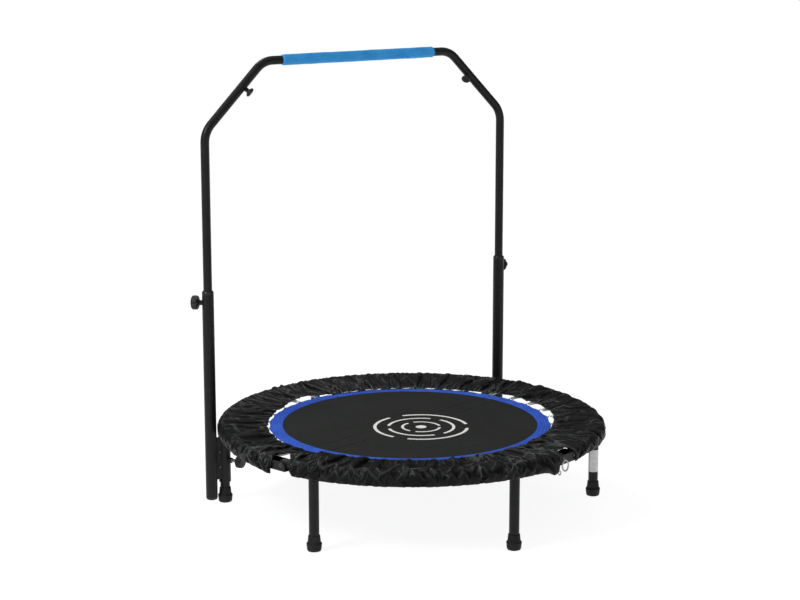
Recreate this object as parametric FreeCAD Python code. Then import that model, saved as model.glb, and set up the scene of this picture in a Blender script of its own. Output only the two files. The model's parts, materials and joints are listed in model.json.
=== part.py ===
# Folding mini trampoline with a height-adjustable handlebar.
# Millimetres. Origin on the floor under the centre of the mat, +Z up, +Y towards the
# handlebar, X along the handlebar.
import FreeCAD, Part
import math, os
from FreeCAD import Vector as V

os.makedirs("parts", exist_ok=True)

# ---- driving dimensions -------------------------------------------------------------
RING_R = 480.0            # centre line radius of the frame ring
RING_Z = 203.0            # centre line height of the ring
TUBE_R = 12.5             # ring and leg tube, outside radius
TUBE_WALL = 1.5

LINK_ANGLES = (15, 105, 195, 288)      # where the ring is broken by hinge links
FOLD_ANGLES = (15, 195)   # the two links that fold; the other two stay straight
PIN_OFFSET = 25.0         # each link pin, measured from the fold line
PIN_R = 4.0
PIN_HOLE_R = 4.4
PIN_HEAD_R, PIN_TAIL_R, PIN_FACE_R = 6.6, 6.0, 4.6     # domed ends: foot and flat of the dome
PIN_HEAD_H = 2.6
LINK_HALF = 38.0          # half length of a link channel
LINK_PLATE = 2.0
LINK_IN = 465.0           # inner face of the inner cheek (radius)
LINK_OUT = 493.2          # inner face of the outer cheek
LINK_TOP = 8.0            # cheek edge above the pins
LINK_WEB_GAP = 0.5        # tube to web
LINK_CHAMFER = 8.0        # trimmed upper corners of the cheeks

LEG_ANGLES_REAR = (30, 90, 150)
LEG_ANGLES_FRONT = (208, 268, 330)
LEG_TOP_Z = 187.0
LEG_BOTTOM_Z = 8.0
STUD_R = 10.7
STUD_Z = 140.0
STUB_CLEAR = 0.15         # the ring curves away from the straight saddle by up to 0.12

FOOT_R, FOOT_H = 19.0, 20.5            # lower tier of the rubber foot, at its widest
FOOT_SOLE_R = 17.4                     # it narrows towards the floor
FOOT_NECK_R, FOOT_NECK_H = 14.5, 39.5  # upper tier, at its top
FOOT_NECK_FLARE = 1.4                  # the neck widens by this much downwards
FIT = 0.1                              # radial play of a pushed-on or inserted piece

UP_X, UP_Y = 453.7, 242.0  # handlebar uprights
UP_R, UP_WALL = 15.0, 1.5
UP_BOTTOM, UP_TOP = 20.0, 552.0
BUSH_TOP = 561.0
BUSH_DEPTH = 10.0         # part of the bushing inside the upright
PLUG_R = UP_R - UP_WALL - 2 * FIT      # what is pushed into the upright's ends
CAP_Z = 11.0
CAP_DEPTH = 16.0

SIDE_R, SIDE_WALL = 11.1, 1.3          # sliding side tubes and top bar
SIDE_BOTTOM = 260.0
CORNER_Z = 963.0          # lower corner of the handle, before rounding
TOP_X, TOP_Z = 284.0, 1133.0           # upper corner
BEND_R = 65.0
SEAM_X = 360.0            # joint between side tube and top bar
SPIGOT_R = SIDE_R - SIDE_WALL - 0.3
SPIGOT_LEN = 60.0
SPIGOT_ROOT = 3.0         # length over which the spigot is swaged into the side tube
HOLE_PITCH = 60.0
HOLES_BELOW, HOLES_ABOVE = 1, 3        # height holes either side of the one in use

GRIP_R, GRIP_HALF = 14.0, 231.0

SLIDE_PLAY = 0.4          # sliding fits and the ends of the clamping studs
HEIGHT_KNOB_Z = 530.0
HEIGHT_KNOB_ANGLE = {"left": 138.0, "right": 42.0}
CLAMP_KNOB_Z = 113.0
CLAMP_KNOB_ANGLE = {"left": 299.0, "right": 241.0}
HANDLE_KNOB_AT = 21.0     # along the diagonal from the seam
HANDLE_KNOB_TILT = 32.0   # degrees towards the user from straight inwards
NUT_ACROSS, NUT_BORE_R, NUT_SINK = 13.0, 4.4, 2.0
STUD_HOLE_R = 4.6         # through the tube wall behind a welded nut
SLEEVE_R, SLEEVE_WALL = 15.5, 1.8
SLEEVE_Z0, SLEEVE_Z1 = 55.0, 180.0
BRACKET_Z0, BRACKET_Z1 = 65.0, 172.0
BRACKET_HALF = 10.0
BRACKET_SHEET = 2.5
SADDLE_PLAY = 0.02
BOLT_Z = (98.0, 138.0)
BOLT_R, BOLT_HEAD_R, BOLT_FACE_R, BOLT_HEAD_H = 2.0, 3.2, 2.2, 1.6
BOLT_NUT_R, BOLT_NUT_H = 3.4, 2.8

MAT_R = 330.0             # black jumping surface
BAND_R = 363.0            # outer edge of the blue webbing band
MAT_T = 3.0
MAT_GAP = 0.3             # between neighbouring mat panels
SPRINGS_PER_QUARTER = 8
SPRING_R = 4.5
SPRING_IN, SPRING_OUT = 373.0, 455.0   # coil body, radii
WIRE_R = 1.1
WIRE_GAP = 0.4            # spring wire to webbing and to ring

COVER_IN = 375.0          # inner edge of the spring cover
COVER_OUT = 496.5
COVER_T = 3.0
COVER_BOTTOM = 185.0
COVER_FOLD_GAP = 9.0      # each side of the fold line
COVER_NOTCH = 46.0        # half width of the opening at each hinge link
COVER_NOTCH_IN = 456.0
COVER_EDGE_Z = 211.5      # underside at the inner edge
COVER_TOP_GAP = 0.5       # over the ring tube
COVER_RISE = 2.5          # extra thickness of the gathered cloth over the tube

LABEL_ANGLE = 330         # the leg that carries the sticker
LABEL_Z0, LABEL_Z1 = 66.0, 125.0
LABEL_T = 0.2
LABEL_FROM, LABEL_WRAP = 177.0, 130.0  # where on the leg it starts and how far it goes round

FAR = 700.0               # beyond everything in the horizontal plane

UP_AXIS = V(0, 0, 1)
X_AXIS = V(1, 0, 0)
Y_AXIS = V(0, 1, 0)
CENTRE = V(0, 0, 0)


# ---- helpers ------------------------------------------------------------------------
def cyl(r, h, base, axis=UP_AXIS):
    return Part.makeCylinder(r, h, base, axis)


def tube(ro, ri, z0, z1, x=0.0, y=0.0):
    return cyl(ro, z1 - z0, V(x, y, z0)).cut(cyl(ri, z1 - z0 + 2, V(x, y, z0 - 1)))


def turn(shape, degrees, axis=UP_AXIS, centre=CENTRE):
    s = shape.copy()
    s.rotate(centre, axis, degrees)
    return s


def mirror_x(shape):
    return shape.mirror(CENTRE, V(1, 0, 0))


def polar(r, degrees, z=0.0):
    a = math.radians(degrees)
    return V(r * math.cos(a), r * math.sin(a), z)


def revolve(points, base=CENTRE):
    """Full turn of an outline of (radius, height) points about a vertical axis through base."""
    wire = Part.makePolygon([V(x, 0, z) for x, z in points] + [V(points[0][0], 0, points[0][1])])
    s = Part.Face(wire).revolve(CENTRE, UP_AXIS, 360)
    s.translate(base)
    return s


def aim(shape, origin, direction):
    """Place a shape modelled along +Z at the origin so that +Z points along direction."""
    s = shape.copy()
    s.Placement = FreeCAD.Placement(origin, FreeCAD.Rotation(V(0, 0, 1), direction)).multiply(s.Placement)
    return s


def ring_piece(r, a0, a1):
    """Solid round bar following the ring from angle a0 to a1."""
    t = Part.makeTorus(RING_R, r, V(0, 0, RING_Z), UP_AXIS, -180, 180, a1 - a0)
    return turn(t, a0)


def save(shape, name):
    shape.exportStep("parts/%s.step" % name)


def group(solids):
    return Part.makeCompound(solids)


# ---- ring arcs, their rounded ends and the hinge links ---------------------------------
def arc_tube(a0, a1):
    overrun = 0.5
    s = ring_piece(TUBE_R, a0, a1).cut(ring_piece(TUBE_R - TUBE_WALL, a0 - overrun, a1 + overrun))
    reach = 4 * TUBE_R
    for angle, side in ((a0, 1), (a1, -1)):
        # the end is rounded about its pin so that the link can swing past it
        block = Part.makeBox(2 * reach, PIN_OFFSET, 2 * reach, V(RING_R - reach, 0, RING_Z - reach))
        if side < 0:
            block.translate(V(0, -PIN_OFFSET, 0))
        pin_line = V(RING_R - reach, side * PIN_OFFSET, RING_Z)
        block = block.cut(cyl(TUBE_R - FIT, 2 * reach, pin_line, X_AXIS))
        s = s.cut(turn(block, angle))
        s = s.cut(turn(cyl(PIN_HOLE_R, 2 * reach, pin_line, X_AXIS), angle))
    return s


def link_channel(angle):
    """Channel under the ring, modelled at angle 0 with X radial and Y along the ring."""
    web_top = -TUBE_R - LINK_WEB_GAP
    web_bottom = web_top - LINK_PLATE
    length = 2 * LINK_HALF
    width = LINK_OUT - LINK_IN + 2 * LINK_PLATE
    over = 1.0
    outer = Part.makeBox(width, length, LINK_TOP - web_bottom,
                         V(LINK_IN - LINK_PLATE, -LINK_HALF, RING_Z + web_bottom))
    inner = Part.makeBox(LINK_OUT - LINK_IN, length + 2 * over, LINK_TOP - web_top + over,
                         V(LINK_IN, -LINK_HALF - over, RING_Z + web_top))
    s = outer.cut(inner)
    start = LINK_IN - LINK_PLATE - over
    for y in (-PIN_OFFSET, PIN_OFFSET):
        s = s.cut(cyl(PIN_R + FIT, width + 2 * over, V(start, y, RING_Z), X_AXIS))
    corner = LINK_HALF - LINK_CHAMFER
    for side in (-1, 1):
        # trim the upper corners of the cheeks
        tri = Part.Face(Part.makePolygon([
            V(start, side * corner, RING_Z + LINK_TOP + over),
            V(start, side * (LINK_HALF + over), RING_Z + LINK_TOP + over),
            V(start, side * (LINK_HALF + over), RING_Z + LINK_TOP - LINK_CHAMFER),
            V(start, side * corner, RING_Z + LINK_TOP + over)]))
        s = s.cut(tri.extrude(X_AXIS * (width + 2 * over)))
    return turn(s, angle)


def link_pins(angle):
    pins = []
    for y in (-PIN_OFFSET, PIN_OFFSET):
        x0, x1 = LINK_IN - LINK_PLATE, LINK_OUT + LINK_PLATE
        shank = cyl(PIN_R, x1 - x0, V(x0, y, RING_Z), X_AXIS)
        head = Part.makeCone(PIN_HEAD_R, PIN_FACE_R, PIN_HEAD_H, V(x1, y, RING_Z), X_AXIS)
        tail = Part.makeCone(PIN_TAIL_R, PIN_FACE_R, PIN_HEAD_H, V(x0, y, RING_Z), X_AXIS * -1)
        pins.append(turn(shank.fuse([head, tail]), angle))
    return pins


ARC_SPANS = list(zip(LINK_ANGLES, LINK_ANGLES[1:] + (LINK_ANGLES[0] + 360,)))
ARC_NAMES = ("ring_arc_rear_right", "ring_arc_rear_left", "ring_arc_front_left", "ring_arc_front_right")
for (a0, a1), name in zip(ARC_SPANS, ARC_NAMES):
    save(arc_tube(a0, a1), name)
for a in LINK_ANGLES:
    kind = "fold" if a in FOLD_ANGLES else "side"
    save(link_channel(a), "%s_link_%03d" % (kind, a))
    if kind == "side":
        save(group(link_pins(a)), "side_link_pins_%03d" % a)
save(group([pin for a in FOLD_ANGLES for pin in link_pins(a)]), "fold_link_pins")


# ---- legs, threaded stubs and rubber feet ------------------------------------------------
def leg_stub(angle):
    """Threaded stub whose top is saddled to the underside of the ring tube."""
    along = polar(1.0, angle + 90)
    half = 2 * TUBE_R
    saddle = cyl(TUBE_R + STUB_CLEAR, 2 * half, polar(RING_R, angle, RING_Z).sub(along * half), along)
    return cyl(STUD_R, RING_Z - STUD_Z, polar(RING_R, angle, STUD_Z)).cut(saddle)


def foot(angle):
    """Two-tier rubber foot with a rounded sole, pushed over the end of the leg."""
    neck_low = FOOT_NECK_R + FOOT_NECK_FLARE
    profile = [(0, 0), (FOOT_SOLE_R - 4, 0), (FOOT_SOLE_R - 1.2, 1.2), (FOOT_SOLE_R, 4.5),
               (FOOT_R - 0.2, FOOT_H - 3.5), (FOOT_R, FOOT_H - 2), (FOOT_R - 0.7, FOOT_H - 0.4),
               (neck_low + 0.6, FOOT_H + 1.5), (neck_low, FOOT_H + 3), (FOOT_NECK_R, FOOT_NECK_H - 1),
               (FOOT_NECK_R - 0.9, FOOT_NECK_H), (0, FOOT_NECK_H)]
    s = revolve(profile, polar(RING_R, angle))
    return s.cut(cyl(TUBE_R + FIT, FOOT_NECK_H, polar(RING_R, angle, LEG_BOTTOM_Z - FIT)))


for a in LEG_ANGLES_REAR + LEG_ANGLES_FRONT:
    p = polar(RING_R, a)
    save(tube(TUBE_R, TUBE_R - TUBE_WALL, LEG_BOTTOM_Z, LEG_TOP_Z, p.x, p.y), "leg_%03d" % a)
    save(foot(a), "foot_%03d" % a)
save(group([leg_stub(a) for a in LEG_ANGLES_REAR]), "leg_stubs_rear")
save(group([leg_stub(a) for a in LEG_ANGLES_FRONT]), "leg_stubs_front")


def leg_label():
    """Sticker wrapped part of the way round the leg."""
    at = polar(RING_R, LABEL_ANGLE)
    height = LABEL_Z1 - LABEL_Z0
    outer = Part.makeCylinder(TUBE_R + LABEL_T, height, V(0, 0, LABEL_Z0), UP_AXIS, LABEL_WRAP)
    inner = Part.makeCylinder(TUBE_R, height, V(0, 0, LABEL_Z0), UP_AXIS, LABEL_WRAP)
    s = turn(outer.cut(inner), LABEL_FROM)
    s.translate(at)
    return s


save(leg_label(), "leg_label")


# ---- knobs ----------------------------------------------------------------------------
def star_knob(radius, height, lobes):
    """Scalloped hand knob standing on z = 0, without its stud."""
    edge = 3.0                           # width of its rounded edges
    hub_foot, hub_top = radius * 0.55, radius * 0.62
    scallop_r, scallop_at = radius * 0.36, radius * 1.24
    body = revolve([(0, 0), (hub_foot, 0), (hub_top, 2.0), (radius - edge, 2.0),
                    (radius - 0.8, 3.6), (radius, 6.0), (radius, height - 4.5),
                    (radius - 1.0, height - 2.0), (radius - edge - 0.5, height), (0, height)])
    for k in range(lobes):
        at = polar(scallop_at, 360.0 * (k + 0.5) / lobes, -1.0)
        body = body.cut(cyl(scallop_r, height + 2, at))
    return body


def knob_with_stud(radius, height, lobes, stand, tip, stud_r):
    """Knob whose underside is at distance stand from the tube axis and stud ends at tip."""
    k = star_knob(radius, height, lobes)
    k.translate(V(0, 0, stand))
    return k.fuse(cyl(stud_r, stand - tip + 1, V(0, 0, tip)))


HEIGHT_KNOB = dict(radius=18.25, height=19.0, lobes=7, stand=23.0, tip=SIDE_R + SLIDE_PLAY, stud_r=4.0)
CLAMP_KNOB = dict(radius=17.0, height=19.0, lobes=7, stand=37.5, tip=TUBE_R + SLIDE_PLAY, stud_r=4.0)
HANDLE_KNOB = dict(radius=12.5, height=10.0, lobes=3, stand=18.6, tip=SPIGOT_R + SLIDE_PLAY, stud_r=3.0)
HEIGHT_NUT_TOP, CLAMP_NUT_TOP = 22.0, 22.5               # from the tube axis
HANDLE_NUT_ACROSS, HANDLE_NUT_BORE_R, HANDLE_NUT_TOP = 10.0, 3.4, 17.4


def weld_nut(across, bore_r, base, top):
    """Hexagonal nut along +Z whose foot starts at base."""
    corner_r = across / 2 / math.cos(math.radians(30))
    hexagon = Part.makePolygon([polar(corner_r, 60 * k, base) for k in range(7)])
    s = Part.Face(hexagon).extrude(V(0, 0, top - base))
    return s.cut(cyl(bore_r, top - base + 2, V(0, 0, base - 1)))


SIDE_SIGN = {"left": -1, "right": 1}
CLAMPED_LEG = {"left": polar(RING_R, 150), "right": polar(RING_R, 30)}


# ---- uprights ---------------------------------------------------------------------------
def upright_cap(x, y):
    """Plastic plug with a rounded end, at the bottom of an upright."""
    return revolve([(0, CAP_Z), (UP_R - 6, CAP_Z), (UP_R - 2, CAP_Z + 1.6), (UP_R, CAP_Z + 5.5), (UP_R, UP_BOTTOM),
                    (PLUG_R, UP_BOTTOM), (PLUG_R, UP_BOTTOM + CAP_DEPTH), (0, UP_BOTTOM + CAP_DEPTH)], V(x, y, 0))


def upright_bushing(x, y):
    """Plastic collar that guides the side tube in the upright."""
    bore = SIDE_R + SLIDE_PLAY
    return revolve([(bore, UP_TOP - BUSH_DEPTH), (PLUG_R, UP_TOP - BUSH_DEPTH), (PLUG_R, UP_TOP), (UP_R, UP_TOP),
                    (UP_R, BUSH_TOP - 4), (UP_R - 2, BUSH_TOP - 0.6), (bore + 1, BUSH_TOP),
                    (bore, BUSH_TOP - 0.8)], V(x, y, 0))


def bracket_and_bolts(leg, upright):
    """Box bracket from the sleeve on the leg to the upright, and the two bolts through it."""
    reach = upright.sub(leg)
    span = reach.Length
    height = BRACKET_Z1 - BRACKET_Z0
    inside = BRACKET_HALF - BRACKET_SHEET
    block = Part.makeBox(span, 2 * BRACKET_HALF, height, V(0, -BRACKET_HALF, BRACKET_Z0))
    block = block.cut(Part.makeBox(span, 2 * inside, height - 2 * BRACKET_SHEET,
                                   V(0, -inside, BRACKET_Z0 + BRACKET_SHEET)))
    for x, r in ((0, SLEEVE_R), (span, UP_R)):
        block = block.cut(cyl(r + SADDLE_PLAY, height + 2, V(x, 0, BRACKET_Z0 - 1)))
    pieces = []
    for z in BOLT_Z:
        front, back = V(span / 2, -BRACKET_HALF, z), V(span / 2, BRACKET_HALF, z)
        shank = cyl(BOLT_R, 2 * BRACKET_HALF, front, Y_AXIS)
        block = block.cut(shank)
        head = Part.makeCone(BOLT_HEAD_R, BOLT_FACE_R, BOLT_HEAD_H, front, Y_AXIS * -1)
        pieces.append(shank.fuse([head, cyl(BOLT_NUT_R, BOLT_NUT_H, back, Y_AXIS)]))
    pieces.insert(0, block)
    placed = []
    for piece in pieces:
        s = turn(piece, math.degrees(math.atan2(reach.y, reach.x)))
        s.translate(leg)
        placed.append(s)
    return placed[0], placed[1:]


height_nuts, clamp_nuts, bracket_bolts = [], [], []
for side, sign in SIDE_SIGN.items():
    x = sign * UP_X
    height_axis = polar(1.0, HEIGHT_KNOB_ANGLE[side])
    at_height = V(x, UP_Y, HEIGHT_KNOB_Z)
    upright = tube(UP_R, UP_R - UP_WALL, UP_BOTTOM, UP_TOP, x, UP_Y)
    save(upright.cut(cyl(STUD_HOLE_R, 2 * UP_R, at_height, height_axis)), "upright_" + side)
    save(upright_cap(x, UP_Y), "upright_cap_" + side)
    save(upright_bushing(x, UP_Y), "upright_bushing_" + side)
    nut = aim(weld_nut(NUT_ACROSS, NUT_BORE_R, UP_R - NUT_SINK, HEIGHT_NUT_TOP), at_height, height_axis)
    height_nuts.append(nut.cut(cyl(UP_R, UP_TOP, V(x, UP_Y, 0))))
    save(aim(knob_with_stud(**HEIGHT_KNOB), at_height, height_axis), "height_knob_" + side)

    # the sleeve that clamps on the rear leg
    leg = CLAMPED_LEG[side]
    clamp_axis = polar(1.0, CLAMP_KNOB_ANGLE[side])
    at_clamp = V(leg.x, leg.y, CLAMP_KNOB_Z)
    sleeve = tube(SLEEVE_R, SLEEVE_R - SLEEVE_WALL, SLEEVE_Z0, SLEEVE_Z1, leg.x, leg.y)
    save(sleeve.cut(cyl(STUD_HOLE_R, 2 * SLEEVE_R, at_clamp, clamp_axis)), "leg_sleeve_" + side)
    nut = aim(weld_nut(NUT_ACROSS, NUT_BORE_R, SLEEVE_R - NUT_SINK, CLAMP_NUT_TOP), at_clamp, clamp_axis)
    clamp_nuts.append(nut.cut(cyl(SLEEVE_R, SLEEVE_Z1, leg)))
    save(aim(knob_with_stud(**CLAMP_KNOB), at_clamp, clamp_axis), "clamp_knob_" + side)

    bracket, bolts = bracket_and_bolts(leg, V(x, UP_Y, 0))
    save(bracket, "bracket_" + side)
    bracket_bolts += bolts
save(group(height_nuts), "height_nuts")
save(group(clamp_nuts), "clamp_nuts")
save(group(bracket_bolts), "bracket_bolts")

# ---- handle: sliding side tubes, top bar, grip ---------------------------------------------
BEND_TRIM = BEND_R * math.tan(math.radians(22.5))       # from the corner to where the bend starts
DIAG = V(-1, 0, 1).normalize()
SEAM = V(SEAM_X, UP_Y, CORNER_Z + UP_X - SEAM_X)


def bend(p_in, p_corner, p_out):
    """Arc tangent to both legs of a corner."""
    d0 = p_corner.sub(p_in).normalize()
    d1 = p_out.sub(p_corner).normalize()
    a = p_corner.sub(d0 * BEND_TRIM)
    b = p_corner.add(d1 * BEND_TRIM)
    n = d1.sub(d0).normalize()
    centre = a.add(n.sub(d0 * n.dot(d0)).normalize() * BEND_R)
    mid = p_corner.sub(centre).normalize() * BEND_R
    return a, Part.Arc(a, centre.add(mid), b).toShape(), b


def sweep(edges, start, direction, r):
    path = Part.Wire(edges)
    profile = Part.Wire(Part.makeCircle(r, start, direction))
    return path.makePipeShell([profile], True, True)


def bar(p0, p1, r):
    return cyl(r, p1.sub(p0).Length, p0, p1.sub(p0))


LOW = V(UP_X, UP_Y, SIDE_BOTTOM)
CORNER_LOW = V(UP_X, UP_Y, CORNER_Z)
CORNER_TOP = V(TOP_X, UP_Y, TOP_Z)
a_low, arc_low, b_low = bend(LOW, CORNER_LOW, CORNER_TOP)
a_top, arc_top, b_top = bend(SEAM, CORNER_TOP, V(0, UP_Y, TOP_Z))


def side_tube(r):
    edges = [Part.makeLine(LOW, a_low), arc_low, Part.makeLine(b_low, SEAM)]
    return sweep(edges, LOW, UP_AXIS, r)


def right_side_tube():
    """Bent side tube with the narrower spigot that the top bar slides over."""
    root = SEAM.sub(DIAG * SPIGOT_ROOT)
    tip = SEAM.add(DIAG * SPIGOT_LEN)
    overlap = 0.2
    spigot = bar(root, tip, SPIGOT_R).cut(bar(root.sub(DIAG), tip.add(DIAG), SPIGOT_R - SIDE_WALL))
    shoulder = bar(root, SEAM, SIDE_R - overlap).cut(bar(root.sub(DIAG), tip, SPIGOT_R - overlap))
    bent = side_tube(SIDE_R).cut(side_tube(SIDE_R - SIDE_WALL))
    return bent.fuse([spigot, shoulder]).removeSplitter()


right_tube = right_side_tube()
for side, sign in SIDE_SIGN.items():
    s = right_tube if sign > 0 else mirror_x(right_tube)
    axis = polar(1.0, HEIGHT_KNOB_ANGLE[side])
    for k in range(-HOLES_BELOW, HOLES_ABOVE + 1):
        hole = V(sign * UP_X, UP_Y, HEIGHT_KNOB_Z + k * HOLE_PITCH)
        s = s.cut(cyl(HEIGHT_KNOB["stud_r"] + SLIDE_PLAY, 2 * SIDE_R, hole, axis))
    save(s, "side_tube_" + side)


def flip(p):
    """The same point on the other side of the handle."""
    return V(-p.x, p.y, p.z)


def top_bar(r):
    middle = arc_top.valueAt((arc_top.FirstParameter + arc_top.LastParameter) / 2)
    other_arc = Part.Arc(flip(b_top), flip(middle), flip(a_top)).toShape()
    edges = [Part.makeLine(SEAM, a_top), arc_top, Part.makeLine(b_top, flip(b_top)), other_arc,
             Part.makeLine(flip(a_top), flip(SEAM))]
    return sweep(edges, SEAM, DIAG, r)


bar_shape = top_bar(SIDE_R).cut(top_bar(SIDE_R - SIDE_WALL))

# thumb screws on the diagonals
INWARD = V(-1, 0, -1).normalize()
TILT = math.radians(HANDLE_KNOB_TILT)
handle_nuts = []
for side, sign in SIDE_SIGN.items():
    base = SEAM.add(DIAG * HANDLE_KNOB_AT)
    axis = (INWARD * math.cos(TILT)).sub(Y_AXIS * math.sin(TILT))
    along = DIAG
    if sign < 0:
        base, axis, along = flip(base), flip(axis), flip(along)
    stud_hole = cyl(HANDLE_KNOB["stud_r"] + SLIDE_PLAY, 2 * SIDE_R, base, axis)
    bar_shape = bar_shape.cut(stud_hole)
    nut = aim(weld_nut(HANDLE_NUT_ACROSS, HANDLE_NUT_BORE_R, SIDE_R - NUT_SINK, HANDLE_NUT_TOP), base, axis)
    handle_nuts.append(nut.cut(cyl(SIDE_R, 4 * SIDE_R, base.sub(along * (2 * SIDE_R)), along)))
    save(aim(knob_with_stud(**HANDLE_KNOB), base, axis), "handle_knob_" + side)
save(group(handle_nuts), "handle_nuts")
save(bar_shape, "top_bar")
grip_end = V(-GRIP_HALF, UP_Y, TOP_Z)
grip = cyl(GRIP_R, 2 * GRIP_HALF, grip_end, X_AXIS)
save(grip.cut(cyl(SIDE_R + FIT, 2 * GRIP_HALF, grip_end, X_AXIS)), "foam_grip")


# ---- mat, webbing band, springs ---------------------------------------------------------
def fold_slab(s0, s1):
    """Everything between two distances from the fold line."""
    return turn(Part.makeBox(2 * FAR, s1 - s0, RING_Z, V(-FAR, s0, RING_Z / 2)), FOLD_ANGLES[0])


PANELS = {"rear": (PIN_OFFSET + MAT_GAP, FAR),
          "middle": (-PIN_OFFSET + MAT_GAP, PIN_OFFSET - MAT_GAP),
          "front": (-FAR, -PIN_OFFSET - MAT_GAP)}
disc = cyl(MAT_R, MAT_T, V(0, 0, RING_Z - MAT_T))
band = cyl(BAND_R, MAT_T, V(0, 0, RING_Z - MAT_T)).cut(disc)
for name, (s0, s1) in PANELS.items():
    save(disc.common(fold_slab(s0, s1)), "mat_" + name)
    save(group(band.common(fold_slab(s0, s1)).Solids), "mat_band_" + name)


def spring(angle):
    """Coil envelope with a straight wire hook at each end."""
    z = RING_Z - MAT_T / 2
    body = cyl(SPRING_R, SPRING_OUT - SPRING_IN, V(SPRING_IN, 0, z), X_AXIS)
    inner = cyl(WIRE_R, SPRING_IN - BAND_R - WIRE_GAP, V(BAND_R + WIRE_GAP, 0, z), X_AXIS)
    outer = cyl(WIRE_R, RING_R - TUBE_R - SPRING_OUT - WIRE_GAP, V(SPRING_OUT, 0, z), X_AXIS)
    return turn(body.fuse([inner, outer]), angle)


for name, spans in (("rear", ARC_SPANS[:2]), ("front", ARC_SPANS[2:])):
    springs = []
    for a0, a1 in spans:
        pitch = (a1 - a0) / SPRINGS_PER_QUARTER
        springs += [spring(a0 + pitch * (k + 0.5)) for k in range(SPRINGS_PER_QUARTER)]
    save(group(springs), "springs_" + name)

# ---- spring cover ------------------------------------------------------------------------
COVER_TOP = RING_Z + TUBE_R + COVER_TOP_GAP
COVER_SIDE = COVER_OUT - COVER_T
FLAT_IN, FLAT_OUT, SAG_R = 468.0, 489.0, 430.0           # the flat over the tube; the sag over the springs
cover_profile = [(COVER_IN, COVER_EDGE_Z), (SAG_R, COVER_TOP - 2), (FLAT_IN, COVER_TOP), (FLAT_OUT, COVER_TOP),
                 (COVER_SIDE, COVER_TOP - 7), (COVER_SIDE, COVER_BOTTOM), (COVER_OUT, COVER_BOTTOM),
                 (COVER_OUT, COVER_TOP - 5), (FLAT_OUT + 2, COVER_TOP + COVER_T),
                 (FLAT_IN, COVER_TOP + COVER_T + COVER_RISE), (SAG_R, COVER_TOP + COVER_T),
                 (COVER_IN, COVER_EDGE_Z + COVER_T)]
cover = revolve(cover_profile)
for a in LINK_ANGLES:
    notch = Part.makeBox(FAR, 2 * COVER_NOTCH, 4 * TUBE_R, V(COVER_NOTCH_IN, -COVER_NOTCH, RING_Z - 2 * TUBE_R))
    cover = cover.cut(turn(notch, a))
save(group(cover.common(fold_slab(COVER_FOLD_GAP, FAR)).Solids), "cover_rear")
save(group(cover.common(fold_slab(-FAR, -COVER_FOLD_GAP)).Solids), "cover_front")
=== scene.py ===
import json
import math

import bmesh
import bpy
import numpy as np
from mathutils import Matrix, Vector


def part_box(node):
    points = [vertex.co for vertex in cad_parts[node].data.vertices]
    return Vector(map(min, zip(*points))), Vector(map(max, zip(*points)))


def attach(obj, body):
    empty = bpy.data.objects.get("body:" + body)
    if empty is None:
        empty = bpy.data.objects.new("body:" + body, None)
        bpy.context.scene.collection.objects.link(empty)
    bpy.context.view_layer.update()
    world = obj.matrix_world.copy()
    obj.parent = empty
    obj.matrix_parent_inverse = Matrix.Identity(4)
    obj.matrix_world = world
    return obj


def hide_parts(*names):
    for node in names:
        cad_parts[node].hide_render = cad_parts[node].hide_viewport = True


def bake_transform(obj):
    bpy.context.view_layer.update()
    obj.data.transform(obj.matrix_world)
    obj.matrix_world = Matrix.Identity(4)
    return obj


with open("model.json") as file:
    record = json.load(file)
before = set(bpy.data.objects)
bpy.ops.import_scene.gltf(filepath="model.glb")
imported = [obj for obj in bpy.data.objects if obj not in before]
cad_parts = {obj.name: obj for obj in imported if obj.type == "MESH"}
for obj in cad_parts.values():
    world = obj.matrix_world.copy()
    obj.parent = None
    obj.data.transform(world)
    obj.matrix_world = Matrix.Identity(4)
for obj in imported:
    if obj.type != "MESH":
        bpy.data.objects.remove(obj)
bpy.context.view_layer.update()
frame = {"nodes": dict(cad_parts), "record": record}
NODES = frame["nodes"]
SCENE = bpy.context.scene

# ---- dimensions shared with the CAD, metres ----
RING_R = 0.480
RING_Z = 0.203
TUBE_R = 0.0125
LINK_ANGLES = (15, 105, 195, 288)
FOLD = math.radians(15)
ACROSS = np.array([-math.sin(FOLD), math.cos(FOLD), 0.0])
PIN_OFFSET = 0.025
MAT_R = 0.330
BAND_R = 0.363
MAT_T = 0.003
SPRINGS = 32
UPRIGHTS = ((-0.4537, 0.242), (0.4537, 0.242))
UPRIGHT_R = 0.015
SLEEVE_R = 0.0155
BRACKET_HALF = 0.0105
CLAMP_Z = 0.113
LEG_ANGLES = {"left": 150, "right": 30}
CLAMP_ANGLES = {"left": 299, "right": 241}
STITCH_ROWS = (0.004, 0.012, 0.020, 0.0275)     # from the inner edge of the webbing
MAT_TOP = RING_Z - 0.0002
BEYOND = 9.0                                    # further from the fold line than anything


# ---- noise ----
def hash3(ix, iy, iz, seed):
    """Repeatable whole numbers from lattice corners."""
    h = (ix * 374761393 + iy * 668265263 + iz * 2147483647 + seed * 974634777) & 0xFFFFFFFF
    h = ((h ^ (h >> 13)) * 1274126177) & 0xFFFFFFFF
    return h ^ (h >> 16)


def noise(p, seed=0):
    """Smooth value noise, about -1 to 1, at an array of points."""
    p = np.asarray(p, float)
    i = np.floor(p).astype(np.int64)
    f = p - i
    f = f * f * f * (f * (f * 6 - 15) + 10)
    out = np.zeros(len(p))
    for dx in (0, 1):
        for dy in (0, 1):
            for dz in (0, 1):
                w = ((f[:, 0] if dx else 1 - f[:, 0]) * (f[:, 1] if dy else 1 - f[:, 1])
                     * (f[:, 2] if dz else 1 - f[:, 2]))
                h = hash3(i[:, 0] + dx, i[:, 1] + dy, i[:, 2] + dz, seed)
                out += w * (h / 2147483647.5 - 1.0)
    return out


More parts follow.
